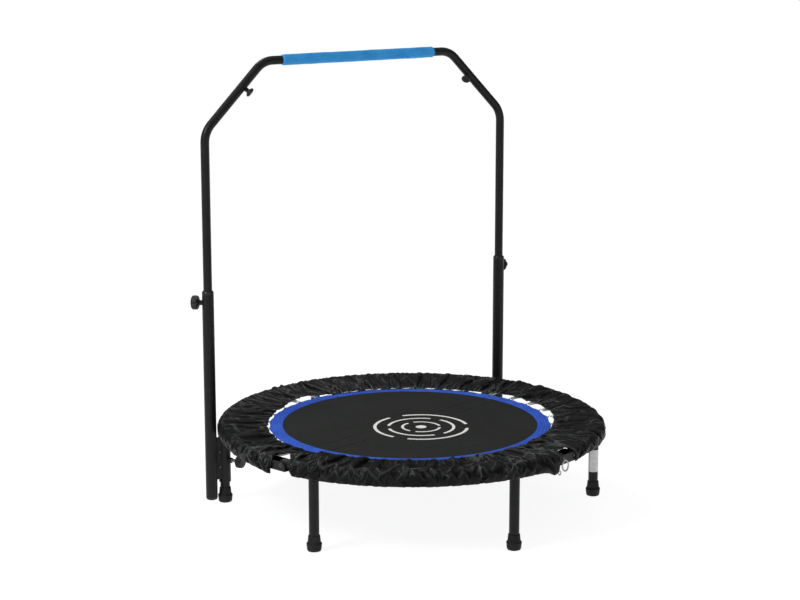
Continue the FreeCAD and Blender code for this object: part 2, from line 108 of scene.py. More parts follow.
def cells(p, seed=0):
    """Distance from the border between the two nearest scattered points (facets with sharp creases)."""
    p = np.asarray(p, float)
    i = np.floor(p).astype(np.int64)
    f1 = np.full(len(p), 9.0)
    f2 = np.full(len(p), 9.0)
    for dx in (-1, 0, 1):
        for dy in (-1, 0, 1):
            for dz in (-1, 0, 1):
                c = i + np.array([dx, dy, dz])
                q = np.stack([hash3(c[:, 0], c[:, 1], c[:, 2], seed + k) / 4294967295.0
                              for k in (0, 11, 23)], -1)
                d = np.linalg.norm(c + q - p, axis=1)
                near = d < f1
                f2 = np.where(near, f1, np.minimum(f2, d))
                f1 = np.where(near, d, f1)
    return f2 - f1


# ---- mesh helpers ----
def make_mesh(name, verts, faces, material=None, smooth=True):
    me = bpy.data.meshes.new(name)
    me.from_pydata([tuple(map(float, v)) for v in verts], [], [tuple(map(int, f)) for f in faces])
    me.validate()
    if smooth:
        me.polygons.foreach_set("use_smooth", [True] * len(me.polygons))
    me.update()
    ob = bpy.data.objects.new(name, me)
    SCENE.collection.objects.link(ob)
    if material:
        me.materials.append(material)
    return ob


def grid_faces(n, m, wrap_n=False, wrap_m=False):
    """Quads of an n by m grid of vertices, row-major."""
    rows = range(n if wrap_n else n - 1)
    cols = range(m if wrap_m else m - 1)
    return [(i * m + j, ((i + 1) % n) * m + j, ((i + 1) % n) * m + (j + 1) % m, i * m + (j + 1) % m)
            for i in rows for j in cols]


def tube_along(points, radius, sides=8, closed=False):
    """Vertices and faces of a round tube that follows points, with flat ends."""
    p = np.asarray(points, float)
    n = len(p)
    r = np.full(n, radius) if np.isscalar(radius) else np.asarray(radius, float)
    if closed:
        t = np.roll(p, -1, 0) - np.roll(p, 1, 0)
    else:
        t = np.gradient(p, axis=0)
    t /= np.linalg.norm(t, axis=1)[:, None]
    side = np.cross(t[0], [0.0, 0.0, 1.0])
    if np.linalg.norm(side) < 1e-3:
        side = np.cross(t[0], [0.0, 1.0, 0.0])
    verts = []
    for k in range(n):
        side = side - t[k] * (side @ t[k])
        side /= np.linalg.norm(side)
        up = np.cross(t[k], side)
        for s in range(sides):
            a = 2 * math.pi * s / sides
            verts.append(p[k] + r[k] * (math.cos(a) * side + math.sin(a) * up))
    faces = grid_faces(n, sides, wrap_n=closed, wrap_m=True)
    if not closed:
        faces.append(tuple(range(sides)))
        faces.append(tuple((n - 1) * sides + s for s in reversed(range(sides))))
    return np.array(verts), faces


def join_parts(parts):
    verts, faces, base = [], [], 0
    for v, f in parts:
        verts.append(np.asarray(v))
        faces += [tuple(i + base for i in q) for q in f]
        base += len(v)
    return np.concatenate(verts), faces


def spin_z(v, angle):
    c, s = math.cos(angle), math.sin(angle)
    v = np.asarray(v, float)
    return np.stack([v[:, 0] * c - v[:, 1] * s, v[:, 0] * s + v[:, 1] * c, v[:, 2]], -1)


def slice_slab(ob, lo, hi):
    """Keep what lies between two distances from the fold line; close and lower the cuts."""
    bm = bmesh.new()
    bm.from_mesh(ob.data)
    for limit, sign in ((lo, -1), (hi, 1)):
        if abs(limit) >= BEYOND:
            continue
        co = Vector(ACROSS * limit)
        geom = bm.verts[:] + bm.edges[:] + bm.faces[:]
        bmesh.ops.bisect_plane(bm, geom=geom, plane_co=co, plane_no=Vector(ACROSS * sign),
                               clear_outer=True, dist=1e-7)
        rim = [e for e in bm.edges if e.is_boundary
               and all(abs(v.co.dot(Vector(ACROSS)) - limit) < 1e-5 for v in e.verts)]
        bmesh.ops.holes_fill(bm, edges=rim, sides=0)
        for v in bm.verts:
            if abs(v.co.dot(Vector(ACROSS)) - limit) < 1e-5:
                v.co.z = min(v.co.z, MAT_TOP)
    bmesh.ops.recalc_face_normals(bm, faces=bm.faces[:])
    bm.to_mesh(ob.data)
    bm.free()
    return ob


# ---- materials ----
class Paint:
    """A procedural material with a few short-hands."""

    def __init__(self, name, base, rough, spec=0.5, metal=0.0, sheen=0.0):
        self.mat = bpy.data.materials.new(name)
        self.mat.use_nodes = True
        self.nt = self.mat.node_tree
        self.bsdf = self.nt.nodes["Principled BSDF"]
        b = self.bsdf.inputs
        b["Base Color"].default_value = (*base, 1)
        b["Roughness"].default_value = rough
        b["Specular IOR Level"].default_value = spec
        b["Metallic"].default_value = metal
        b["Sheen Weight"].default_value = sheen
        b["Sheen Roughness"].default_value = 0.4
        self.coords = self.nt.nodes.new("ShaderNodeTexCoord").outputs["Object"]
        self.height = None

    def node(self, kind, **inputs):
        n = self.nt.nodes.new(kind)
        for k, v in inputs.items():
            key = k.replace("_", " ")
            if key in n.inputs:
                self.put(n.inputs[key], v)
            else:
                setattr(n, k, v)
        return n

    def put(self, socket, v):
        if hasattr(v, "is_output"):
            self.nt.links.new(v, socket)
        else:
            socket.default_value = v

    def noise(self, scale, detail=3.0, rough=0.55, distortion=0.0, vector=None):
        n = self.node("ShaderNodeTexNoise", Scale=scale, Detail=detail, Roughness=rough,
                      Distortion=distortion)
        self.put(n.inputs["Vector"], vector or self.coords)
        return n.outputs["Fac"]

    def voronoi(self, scale, feature="DISTANCE_TO_EDGE", vector=None):
        n = self.node("ShaderNodeTexVoronoi", feature=feature, Scale=scale)
        self.put(n.inputs["Vector"], vector or self.coords)
        return n.outputs["Distance"]

    def math(self, op, a, b=0.0, c=None):
        n = self.node("ShaderNodeMath", operation=op)
        self.put(n.inputs[0], a)
        self.put(n.inputs[1], b)
        if c is not None:
            self.put(n.inputs[2], c)
        return n.outputs[0]

    def ramp(self, fac, stops):
        n = self.node("ShaderNodeValToRGB")
        self.put(n.inputs["Fac"], fac)
        e = n.color_ramp.elements
        while len(e) > len(stops):
            e.remove(e[-1])
        while len(e) < len(stops):
            e.new(1.0)
        for el, (pos, col) in zip(e, stops):
            el.position = pos
            el.color = (*col, 1) if len(col) == 3 else col
        return n.outputs["Color"]

    def mix(self, fac, a, b):
        n = self.node("ShaderNodeMix", data_type="RGBA")
        self.put(n.inputs[0], fac)
        for s, v in ((n.inputs[6], a), (n.inputs[7], b)):
            self.put(s, v if hasattr(v, "is_output") else (*v, 1))
        return n.outputs[2]

    def map_range(self, v, lo, hi, to_lo, to_hi):
        n = self.node("ShaderNodeMapRange")
        for s, x in zip(n.inputs[:5], (v, lo, hi, to_lo, to_hi)):
            self.put(s, x)
        return n.outputs[0]

    def colour(self, socket):
        self.put(self.bsdf.inputs["Base Color"], socket)
        return self

    def roughness(self, socket):
        self.put(self.bsdf.inputs["Roughness"], socket)
        return self

    def bump(self, height, distance, strength=1.0):
        n = self.node("ShaderNodeBump", Strength=strength, Distance=distance, Height=height)
        if self.height is not None:
            self.put(n.inputs["Normal"], self.height)
        self.height = n.outputs["Normal"]
        self.put(self.bsdf.inputs["Normal"], self.height)
        return self

    def wave(self, v, pitch):
        return self.math("SINE", self.math("MULTIPLY", v, 2 * math.pi / pitch))

    def length(self, x, y):
        return self.math("SQRT", self.math("ADD", self.math("MULTIPLY", x, x), self.math("MULTIPLY", y, y)))

    def xyz(self):
        n = self.node("ShaderNodeSeparateXYZ", Vector=self.coords)
        return n.outputs[0], n.outputs[1], n.outputs[2]


def powder_coat(name, base=(0.0075, 0.0078, 0.0078)):
    p = Paint(name, base, 0.38, spec=0.20)
    n = p.noise(1400, 2)
    p.roughness(p.map_range(p.noise(60, 4), 0.3, 0.7, 0.33, 0.46))
    lighter = tuple(c * 1.6 for c in base)
    p.colour(p.mix(p.map_range(p.noise(9, 5), 0.35, 0.75, 0.0, 1.0), base, lighter))
    p.bump(n, 0.00008, 0.5).bump(p.noise(260, 2), 0.00012, 0.35)
    return p.mat


def moulded(name, base, rough=0.5, spec=0.25, grain=900):
    p = Paint(name, base, rough, spec=spec)
    p.roughness(p.map_range(p.noise(120, 3), 0.3, 0.7, rough - 0.07, rough + 0.1))
    p.colour(p.mix(p.noise(30, 4), base, tuple(c * 1.5 for c in base)))
    p.bump(p.voronoi(grain), 0.0001, 0.5)
    return p.mat


def zinc(name, base=(0.52, 0.53, 0.55), rough=0.32):
    p = Paint(name, base, rough, spec=0.5, metal=1.0)
    p.roughness(p.map_range(p.noise(300, 4), 0.3, 0.7, rough - 0.08, rough + 0.16))
    p.colour(p.mix(p.noise(80, 5), base, tuple(c * 0.6 for c in base)))
    p.bump(p.noise(1800, 2), 0.00005, 0.5)
    return p.mat


def mesh_fabric(name):
    """Woven black jumping mat with a plain printed landing target: three broken rings and a dot."""
    p = Paint(name, (0.024, 0.026, 0.024), 0.70, spec=0.04)
    x, y, z = p.xyz()
    warp = p.wave(x, WEAVE_PITCH)
    weft = p.wave(y, WEAVE_PITCH)
    weave = p.math("MULTIPLY", warp, weft)
    cx, cy = MARK
    dx, dy = p.math("SUBTRACT", x, cx), p.math("SUBTRACT", y, cy)
    r = p.length(dx, dy)
    angle = p.math("ARCTAN2", dy, dx)
    ring = p.math("LESS_THAN", r, MARK_DOT_R)
    for radius, half, pieces, offset in MARK_RINGS:
        line = p.math("LESS_THAN", p.math("ABSOLUTE", p.math("SUBTRACT", r, radius)), half)
        turn = p.math("MULTIPLY", angle, pieces / (2 * math.pi))
        turn = p.math("FRACT", p.math("ADD", turn, pieces + offset))
        line = p.math("MULTIPLY", line, p.math("LESS_THAN", turn, 0.84))
        ring = p.math("MAXIMUM", ring, line)
    ring = p.math("MULTIPLY", ring, p.math("GREATER_THAN", z, RING_Z - 0.0016))
    wear_and_painted_highlight = p.math("MULTIPLY", ring, p.map_range(p.noise(220, 3), 0.30, 0.45, 0.86, 1.0))
    cloth = p.mix(p.map_range(p.noise(7, 5), 0.35, 0.7, 0.0, 1.0),
                  (0.0250, 0.0268, 0.0248), (0.0285, 0.0303, 0.0283))
    p.colour(p.mix(wear_and_painted_highlight, cloth, (0.93, 0.93, 0.92)))
    p.roughness(p.map_range(p.noise(40, 4), 0.3, 0.7, 0.56, 0.68))
    p.bump(weave, 0.00022, 0.6).bump(p.noise(35, 4), 0.0004, 0.25)
    return p.mat


def webbing(name):
    p = Paint(name, (0.04, 0.115, 0.62), 0.6, spec=0.06)
    x, y, z = p.xyz()
    r = p.length(x, y)
    angle = p.math("ARCTAN2", y, x)
    ribs = p.math("SINE", p.math("MULTIPLY", angle, RIBS_ROUND))
    lines = p.wave(r, 0.0011)
    p.bump(p.math("MULTIPLY", ribs, lines), 0.00025, 0.7)
    tone = p.math("ADD", p.math("MULTIPLY", p.noise(18, 4), 0.6), p.math("MULTIPLY", p.noise(160, 3), 0.4))
    p.colour(p.ramp(tone, [(0.30, (0.026, 0.080, 0.48)), (0.52, (0.038, 0.112, 0.62)),
                           (0.75, (0.062, 0.18, 0.74))]))
    p.roughness(p.map_range(p.noise(90, 3), 0.3, 0.7, 0.46, 0.66))
    return p.mat


def nylon(name):
    """Thin black crumpled nylon: fine creases, a faint weave, a soft shine, and painted highlights along
    the crease ridges and pleat lines.
    """
    p = Paint(name, (0.0050, 0.0054, 0.0052), 0.40, spec=0.11)
    creases = p.math("SMOOTH_MIN", p.voronoi(70), 0.16, 0.08)
    p.bump(creases, 0.0010, 0.30).bump(p.noise(190, 4), 0.0006, 0.35)
    x, y, z = p.xyz()
    weave = p.math("MULTIPLY", p.wave(x, 0.0009), p.wave(y, 0.0009))
    p.bump(weave, 0.00006, 0.4)
    r = p.length(x, y)
    sway = p.map_range(p.noise(9, 3), 0.0, 1.0, -1.3, 1.3)
    polar = p.node("ShaderNodeCombineXYZ",
                   X=p.math("ADD", p.math("MULTIPLY", p.math("DIVIDE", x, r), 11.0), sway),
                   Y=p.math("SUBTRACT", p.math("MULTIPLY", p.math("DIVIDE", y, r), 11.0), sway),
                   Z=p.math("MULTIPLY", p.math("SUBTRACT", r, z), 8.0)).outputs[0]
    pleat = p.map_range(p.voronoi(1.0, vector=polar), 0.0, 0.045, 1.0, 0.0)
    pleat = p.math("MULTIPLY", pleat, p.map_range(p.noise(17, 3), 0.45, 0.60, 0.0, 1.0))
    p.bump(pleat, 0.0012, 0.6)
    tone = p.map_range(p.noise(14, 5), 0.3, 0.75, 0.0, 1.0)
    black = p.mix(tone, (0.0020, 0.0023, 0.0022), (0.0050, 0.0055, 0.0052))
    # painted highlight: the colour is lightened along convex crease ridges (pointiness) and along the pleat
    # lines, in place of glints of light; this painted highlight is weaker on the lower, outer side of the
    # cover
    painted_ridge_highlight = p.map_range(p.node("ShaderNodeNewGeometry").outputs["Pointiness"], 0.515, 0.60, 0.0, 1.0)
    wear_and_painted_highlight = p.math("MULTIPLY", painted_ridge_highlight, p.map_range(p.noise(26, 3), 0.35, 0.6, 0.25, 1.0))
    wear_and_painted_highlight = p.math("MULTIPLY", p.math("MAXIMUM", wear_and_painted_highlight, pleat), p.map_range(z, 0.190, 0.213, 0.25, 1.0))
    # the black cloth is mixed towards a light grey where the painted highlight falls
    p.colour(p.mix(wear_and_painted_highlight, black, (0.100, 0.106, 0.103)))
    p.roughness(p.map_range(p.noise(55, 4), 0.3, 0.7, 0.32, 0.46))
    return p.mat


def foam(name):
    p = Paint(name, (0.04, 0.32, 0.75), 0.62, spec=0.15)
    p.colour(p.ramp(p.noise(22, 5), [(0.3, (0.030, 0.27, 0.68)), (0.55, (0.042, 0.33, 0.76)),
                                    (0.8, (0.065, 0.39, 0.82))]))
    p.bump(p.voronoi(650, "F1"), 0.0004, 0.5).bump(p.noise(160, 3), 0.0006, 0.35)
    p.roughness(p.map_range(p.noise(200, 3), 0.3, 0.7, 0.5, 0.7))
    return p.mat


def rubber(name):
    p = Paint(name, (0.011, 0.0115, 0.011), 0.62, spec=0.22)
    p.colour(p.mix(p.map_range(p.noise(45, 5), 0.4, 0.7, 0.0, 1.0),
                   (0.009, 0.0095, 0.009), (0.020, 0.020, 0.019)))
    p.bump(p.noise(700, 3), 0.00012, 0.5)
    p.roughness(p.map_range(p.noise(60, 4), 0.3, 0.7, 0.52, 0.75))
    return p.mat


def blank_label(name):
    p = Paint(name, (0.55, 0.57, 0.55), 0.34, spec=0.5)
    p.colour(p.ramp(p.noise(60, 5), [(0.3, (0.56, 0.57, 0.55)), (0.5, (0.68, 0.69, 0.67)),
                                    (0.72, (0.78, 0.79, 0.77))]))
    p.roughness(p.map_range(p.noise(120, 4), 0.3, 0.7, 0.25, 0.45))
    p.bump(p.noise(150, 3), 0.0001, 0.5)
    return p.mat


# printed target: its middle, the dot, and its rings as radius, half width, pieces and turn
MARK = (0.005, -0.044)
MARK_DOT_R = 0.014
MARK_RINGS = ((0.119, 0.0042, 3, 0.17), (0.084, 0.0038, 3, 0.67), (0.048, 0.0034, 3, 0.17))
WEAVE_PITCH = 0.0016     # of the mat
RIBS_ROUND = 340         # ribs of the webbing, per radian
M = {
    "black_powder_coat": powder_coat("powder_coat_black"),
    "zinc_steel": zinc("zinc_plated_steel"),
    "black_oxide_steel": zinc("blackened_steel", (0.085, 0.085, 0.09), 0.42),
    "black_rubber": rubber("rubber_black"),
    "black_knob_plastic": moulded("moulded_knob_black", (0.010, 0.010, 0.0105), 0.45, 0.3),
    "black_cap_plastic": moulded("moulded_cap_black", (0.012, 0.012, 0.0125), 0.42, 0.3),
    "blue_foam": foam("foam_blue"),
    "blue_webbing": webbing("webbing_blue"),
    "black_mesh": mesh_fabric("woven_mat_black"),
    "black_nylon": nylon("nylon_black_crumpled"),
    "pale_label": blank_label("label_blank"),
}
THREAD = Paint("stitch_thread_blue", (0.075, 0.19, 0.66), 0.5, spec=0.35, sheen=0.2)
THREAD.colour(THREAD.mix(THREAD.noise(400, 2), (0.05, 0.15, 0.58), (0.12, 0.27, 0.74)))
THREAD.bump(THREAD.noise(2500, 2), 0.0001, 0.6)

for part in frame["record"]["subparts"]:
    ob = NODES[part["node"]]
    ob.data.materials.clear()
    ob.data.materials.append(M[part["material_slot"]])
ROUNDED = ("knob", "link", "bracket", "foot", "cap", "nuts")
for name, ob in NODES.items():
    if any(word in name for word in ROUNDED):
        bevel = ob.modifiers.new("soft_edges", "BEVEL")
        bevel.width = 0.0007
        bevel.segments = 2
        bevel.limit_method = "ANGLE"
        bevel.angle_limit = math.radians(35)
        bevel.harden_normals = False


# ---- spring cover: gathered cloth over the ring ----
# inner edge of the cover: angle in degrees, radius in metres
EDGE = ((0, 0.379), (8, 0.386), (15, 0.374), (22, 0.370), (29, 0.357), (42, 0.3525), (60, 0.3515),
        (85, 0.3520), (95, 0.358), (104, 0.382), (111, 0.383), (122, 0.366), (142, 0.366),
        (158, 0.369), (178, 0.378), (195, 0.379), (204, 0.374), (211, 0.357), (219, 0.363),
        (228, 0.354), (237, 0.357), (246, 0.358), (264, 0.353), (288, 0.354), (311, 0.360),
        (322, 0.369), (335, 0.380), (344, 0.386), (354, 0.382))
# how frayed that edge is: angle in degrees, 0 even to 1 most
FRAYED = ((0, 1.0), (30, 0.2), (90, 0.2), (100, 1.0), (185, 1.0), (200, 0.3), (320, 0.3), (335, 1.0))
# how far the hem hangs below its usual place, above it where negative: angle in degrees, metres
HANG = ((0, 0), (118, 0), (140, -0.005), (150, -0.009), (166, -0.008), (176, -0.003), (184, 0),
        (188, 0.002), (192.5, 0.008), (195, 0.002), (197, 0), (276, 0), (279.5, 0.003), (281.7, 0.019),
        (283.5, 0.005), (286, 0), (291, -0.003), (296, -0.009), (304, -0.006), (311, 0), (340, 0))
# how tightly the cloth lies on the ring: angle in degrees, 0 slack to 1 tight
HUG = ((0, 0.1), (20, 0.35), (38, 0.9), (55, 1.0), (152, 1.0), (168, 0.95), (182, 0.4),
       (196, 0.1), (270, 0.0), (340, 0.0))
# section of the cover from its inner edge to its hem: radius, height
PROFILE = np.array([
    (0.3740, 0.2090), (0.4000, 0.2112), (0.4300, 0.2140), (0.4550, 0.2164), (0.4700, 0.2182),
    (0.4800, 0.2188), (0.4890, 0.2174), (0.4960, 0.2132), (0.5005, 0.2065), (0.5022, 0.1985),
    (0.5015, 0.1905), (0.4992, 0.1850), (0.4955, 0.1815)])
# cut-outs over the hinge links: angle, half width, share of the cloth left, lift of the cloth
NOTCHES = ((15, 0.036, 0.80, 0.0), (105, 0.036, 0.80, 0.0), (197.6, 0.034, 0.62, 0.010),
           (287, 0.032, 0.64, 0.0015))


def smooth_path(points, count):
    """Round the corners of a line and return it as evenly spaced points."""
    p = np.asarray(points, float)
    for _ in range(3):
        q = np.empty((2 * len(p) - 2, 2))
        q[0::2] = 0.75 * p[:-1] + 0.25 * p[1:]
        q[1::2] = 0.25 * p[:-1] + 0.75 * p[1:]
        p = np.concatenate([p[:1], q, p[-1:]])
    s = np.concatenate([[0], np.cumsum(np.linalg.norm(np.diff(p, axis=0), axis=1))])
    t = np.linspace(0, s[-1], count)
    return np.stack([np.interp(t, s, p[:, 0]), np.interp(t, s, p[:, 1])], -1)


LINE_POINTS = 400
LINE = smooth_path(PROFILE, LINE_POINTS)


def around(theta, pairs):
    a = np.radians([p[0] for p in pairs] + [pairs[0][0] + 360])
    r = np.array([p[1] for p in pairs] + [pairs[0][1]])
    t = np.mod(theta, 2 * math.pi)
    dense = np.linspace(0, 2 * math.pi, 721)
    v = np.interp(dense, a, r)[:-1]
    for _ in range(6):
        v = 0.25 * np.roll(v, 1) + 0.5 * v + 0.25 * np.roll(v, -1)
    return np.interp(t, dense, np.append(v, v[0]))


def ring_noise(theta, cells_round, seed, row=0.0):
    rad = cells_round / (2 * math.pi)
    return noise(np.stack([np.cos(theta) * rad, np.sin(theta) * rad, row + 0 * theta], -1), seed)


TURN_AT = 0.445          # inside this radius the cloth is drawn to its own inner edge


def base_cloth(n, m):
    """Smooth starting shape: points, share of the way from inner edge to hem, and angle."""
    theta = math.radians(15) + 2 * math.pi * np.arange(n) / n
    share = np.linspace(0, 1, m)
    end = np.ones(n)
    lift = np.zeros(n)
    for a, half_width, stop, rise in NOTCHES:
        s = RING_R * np.sin(theta - math.radians(a)) / half_width
        near = np.cos(theta - math.radians(a)) > 0.9
        s = s + 0.10 * ring_noise(theta, 60, 5)
        arch = np.where(near & (np.abs(s) < 1), (1 - np.clip(np.abs(s), 0, 1) ** 2.6) ** (1 / 2.2), 0)
        end = np.minimum(end, 1 - (1 - stop) * arch)
        lift += rise * arch
    u = share[None, :] * end[:, None]
    k = u * (LINE_POINTS - 1)
    r = np.interp(k.ravel(), np.arange(LINE_POINTS), LINE[:, 0]).reshape(u.shape)
    z = np.interp(k.ravel(), np.arange(LINE_POINTS), LINE[:, 1]).reshape(u.shape)
    edge = around(theta, EDGE) + 0.0030 * around(theta, FRAYED) * ring_noise(theta, 130, 8)
    edge = edge[:, None]
    z = z + lift[:, None] * np.clip((u - 0.15) / 0.45, 0, 1)
    z = z - around(theta, HANG)[:, None] * np.clip((u - 0.80) / 0.20, 0, 1)
    t = np.clip((TURN_AT - r) / (TURN_AT - LINE[0, 0]), 0, 1)
    hug = around(theta, HUG)[:, None]
    z = z - 0.0036 * t ** 2 - 0.0016 * hug * np.clip((r - 0.455) / 0.02, 0, 1)
    r = r - 0.0058 * hug * np.clip((r - 0.480) / 0.014, 0, 1)
    r = np.where(r < TURN_AT, TURN_AT - t * (TURN_AT - edge), r)
    th = np.repeat(theta[:, None], m, 1)
    return np.stack([r * np.cos(th), r * np.sin(th), z], -1), u, th


def link(x, a, b, rest, k, only_short=False):
    d = x[b] - x[a]
    length = np.sqrt((d * d).sum(-1))
    c = (length - rest) / np.maximum(length, 1e-9) * (0.5 * k)
    if only_short:
        c = np.minimum(c, 0)
    d *= c[..., None]
    x[a] += d
    x[b] -= d


def rest_lengths(x, gather, slack):
    ru = np.sqrt(((x[:, 1:] - x[:, :-1]) ** 2).sum(-1)) * slack
    rt = np.sqrt(((np.roll(x, -1, 0) - x) ** 2).sum(-1)) * gather
    return rt, ru


CLOTH_GAP = 0.0014                              # cloth to ring tube
OVER_BAND_R, OVER_BAND_Z, OVER_SPRINGS_Z = 0.368, 0.2053, 0.2068
COVER_TOP, COVER_OUT = 0.2330, 0.5095           # where the cloth is slack
UPRIGHT_CAP = 0.4958                            # largest radius of the cloth at an upright
UPRIGHT_ANGLES = (28.1, 151.9, 1.9, 238.1)      # where the cloth is held in, degrees
DAMPING, GRAVITY = 0.80, 3e-6


def relax(x, base, u, th, rt, ru, steps, bend):
    """Settle the cloth: pull its links to their cut lengths and keep it off what it lies on."""
    prev = x.copy()
    rt_mid = 0.5 * (rt[:, 1:] + rt[:, :-1])
    diag = np.sqrt(rt_mid ** 2 + ru ** 2)
    allm = slice(None)
    edge_r = np.hypot(base[:, 0, 0], base[:, 0, 1])
    hem_r = np.hypot(base[:, -1, 0], base[:, -1, 1])
    hem_z = base[:, -1, 2]
    reach = [np.abs(np.angle(np.exp(1j * (th - math.radians(a))))) * 0.5 for a in UPRIGHT_ANGLES]
    hug = around(th[:, 0], HUG)[:, None]
    hold = 0.0006 + 0.02 * (np.abs(around(th[:, 0], HANG)) > 0.012)[:, None, None]
    for a, half_width, _, rise in NOTCHES:
        near = np.abs(np.angle(np.exp(1j * (th - math.radians(a))))) * RING_R < 1.2 * half_width
        hold = hold + (near & (u > 0.3))[..., None] * (0.02 if rise else 0.0)
    for _ in range(steps):
        v = (x - prev) * DAMPING
        prev = x.copy()
        x = x + v
        x[..., 2] -= GRAVITY
        x += (base - x) * hold
        # along the ring
        for odd in (0, 1):
            if odd:
                x = np.roll(x, -1, 0)
            r_ = np.roll(rt, -odd, 0)[0::2]
            link(x, (slice(0, None, 2), allm), (slice(1, None, 2), allm), r_, 0.9)
            d_ = np.roll(diag, -odd, 0)[0::2]
            link(x, (slice(0, None, 2), slice(0, -1, 1)), (slice(1, None, 2), slice(1, None, 1)), d_, 0.35)
            link(x, (slice(1, None, 2), slice(0, -1, 1)), (slice(0, None, 2), slice(1, None, 1)), d_, 0.35)
            if odd:
                x = np.roll(x, 1, 0)
        # across the ring
        link(x, (allm, slice(0, -1, 2)), (allm, slice(1, None, 2)), ru[:, 0::2], 0.9)
        link(x, (allm, slice(1, -1, 2)), (allm, slice(2, None, 2)), ru[:, 1::2], 0.9)
        # bending: second neighbours resist coming together
        two = (rt + np.roll(rt, -1, 0)) * 0.985
        for shift in (0, 1, 2, 3):
            y = np.roll(x, -shift, 0)
            rest = np.roll(two, -shift, 0)[0::4]
            link(y, (slice(0, None, 4), allm), (slice(2, None, 4), allm), rest, bend, True)
            x = np.roll(y, shift, 0)
        two = (ru[:, 1:] + ru[:, :-1]) * 0.99
        for s in range(4):
            w = two[:, s::4]
            cols = s + 4 * np.arange(w.shape[1])
            a, b = x[:, cols], x[:, cols + 2]
            d = b - a
            length = np.sqrt((d * d).sum(-1))
            c = np.minimum((length - w) / np.maximum(length, 1e-9) * (0.5 * bend * 1.5), 0)
            d *= c[..., None]
            x[:, cols] += d
            x[:, cols + 2] -= d
        # elastic in both edges
        for j, rr0, zz0, kr, kz in ((0, edge_r, base[:, 0, 2], 0.30, 0.10), (-1, hem_r, hem_z, 0.35, 0.30)):
            r = np.hypot(x[:, j, 0], x[:, j, 1])
            f = 1 + (rr0 / r - 1) * kr
            x[:, j, 0] *= f
            x[:, j, 1] *= f
            x[:, j, 2] += (zz0 - x[:, j, 2]) * kz
        # clear of the ring tube, webbing and springs; no higher or wider than the caps
        r = np.hypot(x[..., 0], x[..., 1])
        dz = x[..., 2] - RING_Z
        d = np.hypot(r - RING_R, dz)
        need = TUBE_R + CLOTH_GAP
        push = np.where(d < need, need / np.maximum(d, 1e-6), 1.0)
        r2 = RING_R + (r - RING_R) * push
        z2 = RING_Z + dz * push
        floor = np.where(r2 < OVER_BAND_R, OVER_BAND_Z, OVER_SPRINGS_Z)
        z2 = np.where(r2 < RING_R - 0.012, np.maximum(z2, floor), z2)
        z2 = np.minimum(z2, COVER_TOP - 0.0128 * hug * np.clip((r2 - 0.44) / 0.025, 0, 1))
        for away in reach:
            cap = UPRIGHT_CAP + 0.012 * np.clip(away / 0.030 - 0.60, 0, None) ** 1.6
            r2 = np.minimum(r2, cap)
        r2 = np.minimum(r2, COVER_OUT - 0.0125 * hug)
        f = r2 / r
        x[..., 0] *= f
        x[..., 1] *= f
        x[..., 2] = z2
    return x


def double(x, m2):
    """Resample a ring grid to twice as many columns round the ring and m2 across it."""
    n, m = x.shape[:2]
    # columns: cubic midpoint
    mid = (9 * (x + np.roll(x, -1, 0)) - np.roll(x, 1, 0) - np.roll(x, -2, 0)) / 16
    y = np.empty((2 * n, m, x.shape[2]))
    y[0::2] = x
    y[1::2] = mid
    k = np.linspace(0, m - 1, m2)
    i = np.clip(np.floor(k).astype(int), 0, m - 2)
    f = (k - i)[None, :, None]
    p0, p1, p2, p3 = (y[:, np.clip(i + s, 0, m - 1)] for s in (-1, 0, 1, 2))
    return 0.5 * ((2 * p1) + (p2 - p0) * f + (2 * p0 - 5 * p1 + 4 * p2 - p3) * f ** 2
                  + (3 * p1 - p0 - 3 * p2 + p3) * f ** 3)


FOLDS = 50               # main folds round the ring
MINOR_FOLDS = 2 * FOLDS + 9
SLANT = ((0, -7), (40, -4), (90, 2), (150, 1), (190, 2), (215, 6), (260, 7), (300, 4), (330, -3))  # degrees


def fold_phase(u, th, folds, seed):
    """Whole numbers on the crests of the folds, which lean as they run outwards."""
    grid = np.arange(-2, folds + 3)
    jitter = 0.75 * noise(np.stack([np.mod(grid, folds) * 1.7 + 0.5, 0 * grid, 0 * grid], -1), seed)
    crest = (grid + jitter) * 2 * math.pi / folds
    lean = np.radians(around(th[:, 0], SLANT))[:, None] * (1 - u)
    q = np.stack([np.cos(th).ravel() * 1.6, np.sin(th).ravel() * 1.6, u.ravel() * 3.0], -1)
    wander = 0.020 * noise(q, seed + 1).reshape(th.shape)
    angle = np.mod(th - lean + wander, 2 * math.pi)
    return np.interp(angle.ravel(), crest, grid).reshape(th.shape)


def tent(phase):
    """1 on a crest, 0 in a valley, straight between."""
    f = phase - np.floor(phase)
    return 1 - 2 * np.minimum(f, 1 - f)


def strength(phase, folds, seed, lo, hi):
    """A size for each fold, the same on both its sides."""
    k = np.mod(np.round(phase), folds)
    q = np.stack([k.ravel() * 2.3 + 0.5, 0 * k.ravel(), 0 * k.ravel()], -1)
    return lo + (hi - lo) * (0.5 + 0.5 * noise(q, seed)).reshape(phase.shape)


def ring_field(u, th, turns, radial, seed):
    q = np.stack([np.cos(th).ravel() * turns / (2 * math.pi), np.sin(th).ravel() * turns / (2 * math.pi),
                  u.ravel() / radial], -1)
    return noise(q, seed).reshape(th.shape)


def gather_map(u, th):
    """How much longer the cloth is cut, along the ring, than the space it is gathered into."""
    inner = np.exp(-u / 0.35)
    hem = np.clip((u - 0.76) / 0.22, 0, 1) ** 1.5
    g = 1.045 + 0.17 * inner + 0.02 * hem
    return g + 0.05 * ring_field(u, th, 14, 0.4, 3) * (0.3 + inner)


# grids from coarse to fine: points round, points across, steps, bending stiffness
LEVELS = ((192, 9, 160, 0.03), (384, 17, 120, 0.08), (768, 33, 70, 0.12), (1536, 65, 40, 0.12))
MINOR_FOLDS_AT = 768     # grid on which the minor folds are added


